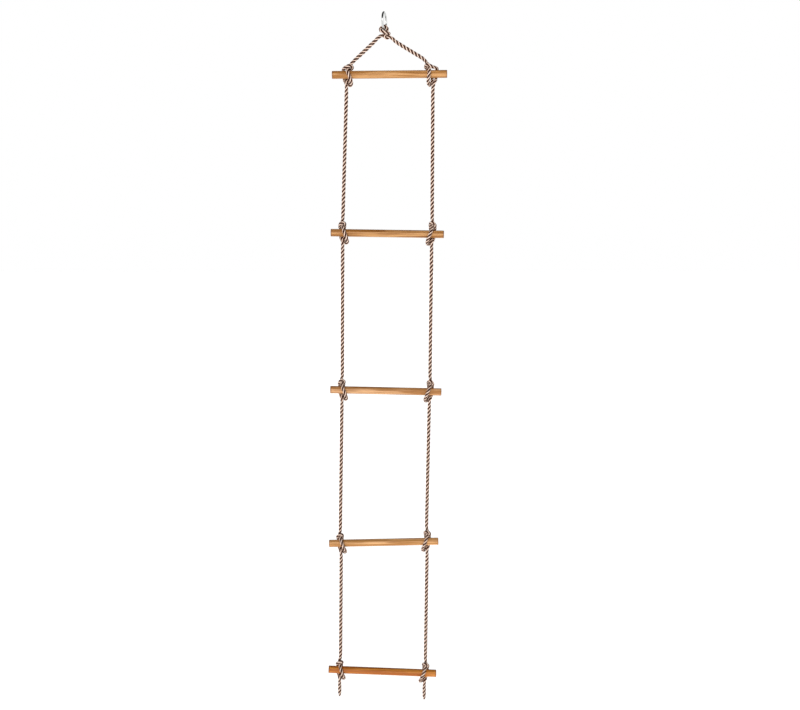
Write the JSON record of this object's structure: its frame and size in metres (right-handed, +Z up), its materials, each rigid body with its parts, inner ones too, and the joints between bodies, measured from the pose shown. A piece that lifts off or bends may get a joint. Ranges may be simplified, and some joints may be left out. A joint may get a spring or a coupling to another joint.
{
  "type": "escape rope ladder",
  "caption": "Hanging escape rope ladder: steel ring, knotted rope bridle and round wooden rungs hitched between two laid ropes.",
  "frame": {"origin": "inner top of the hanging ring, where the hook bears", "axes": "+X to the ladder's right along the rungs, +Y to its back, +Z up"},
  "size_m": [0.3544, 0.053, 2.0522],
  "materials": {
    "steel": "bright zinc or chrome plated wire",
    "rope": "three-strand laid rope, beige and dark brown yarns",
    "rung_wood": "satin varnished round dowel, straight grain"
  },
  "bodies": {
    "ring": {"hanging_ring": "steel"},
    "top_knot": {"top_knot": "rope", "left_bridle_rope": "rope", "right_bridle_rope": "rope"},
    "rung_1": {"rung_1": "rung_wood", "left_hitch_1": "rope", "right_hitch_1": "rope"},
    "span_1": {"left_rope_1": "rope", "right_rope_1": "rope"},
    "rung_2": {"rung_2": "rung_wood", "left_hitch_2": "rope", "right_hitch_2": "rope"},
    "span_2": {"left_rope_2": "rope", "right_rope_2": "rope"},
    "rung_3": {"rung_3": "rung_wood", "left_hitch_3": "rope", "right_hitch_3": "rope"},
    "span_3": {"left_rope_3": "rope", "right_rope_3": "rope"},
    "rung_4": {"rung_4": "rung_wood", "left_hitch_4": "rope", "right_hitch_4": "rope"},
    "span_4": {"left_rope_4": "rope", "right_rope_4": "rope"},
    "rung_5": {"rung_5": "rung_wood", "left_hitch_5": "rope", "right_hitch_5": "rope"},
    "left_tail": {"left_tail": "rope"},
    "right_tail": {"right_tail": "rope"}
  },
  "joints": [
    {"name": "knot_sway", "type": "hinge", "parent": "ring", "child": "top_knot", "pos_m": [0, 0, -0.045], "axis": [0.2079, 0.9781, 0], "range_deg": [-35, 35]},
    {"name": "rung_1_fold", "type": "hinge", "parent": "top_knot", "child": "rung_1", "pos_m": [0.01461, 0, -0.1238], "axis": [-1, 0, -0.0087], "range_deg": [-90, 90]},
    {"name": "span_1_fold", "type": "hinge", "parent": "rung_1", "child": "span_1", "pos_m": [0.01537, 0, -0.211], "axis": [-1, 0, -0.0087], "range_deg": [-90, 90]},
    {"name": "rung_2_fold", "type": "hinge", "parent": "span_1", "child": "rung_2", "pos_m": [0.0087, 0, -0.57551], "axis": [0.9999, 0, -0.015], "range_deg": [-90, 90]},
    {"name": "span_2_fold", "type": "hinge", "parent": "rung_2", "child": "span_2", "pos_m": [0.00737, 0, -0.664], "axis": [0.9999, 0, -0.015], "range_deg": [-90, 90]},
    {"name": "rung_3_fold", "type": "hinge", "parent": "span_2", "child": "rung_3", "pos_m": [0.00401, 0, -1.03951], "axis": [-0.9998, 0, 0.0218], "range_deg": [-90, 90]},
    {"name": "span_3_fold", "type": "hinge", "parent": "rung_3", "child": "span_3", "pos_m": [0.00208, 0, -1.12799], "axis": [-0.9998, 0, 0.0218], "range_deg": [-90, 90]},
    {"name": "rung_4_fold", "type": "hinge", "parent": "span_3", "child": "rung_4", "pos_m": [-0.00497, 0, -1.50251], "axis": [0.9998, 0, 0.0209], "range_deg": [-90, 90]},
    {"name": "span_4_fold", "type": "hinge", "parent": "rung_4", "child": "span_4", "pos_m": [-0.00312, 0, -1.59099], "axis": [0.9998, 0, 0.0209], "range_deg": [-90, 90]},
    {"name": "rung_5_fold", "type": "hinge", "parent": "span_4", "child": "rung_5", "pos_m": [-0.00713, 0, -1.90954], "axis": [-0.9992, 0, 0.0401], "range_deg": [-90, 90]},
    {"name": "left_tail_fold", "type": "hinge", "parent": "rung_5", "child": "left_tail", "pos_m": [-0.14058, 0, -1.99275], "axis": [-0.9992, 0, 0.0401], "range_deg": [-90, 90]},
    {"name": "right_tail_fold", "type": "hinge", "parent": "rung_5", "child": "right_tail", "pos_m": [0.11921, 0, -2.00318], "axis": [-0.9992, 0, 0.0401], "range_deg": [-90, 90]}
  ]
}
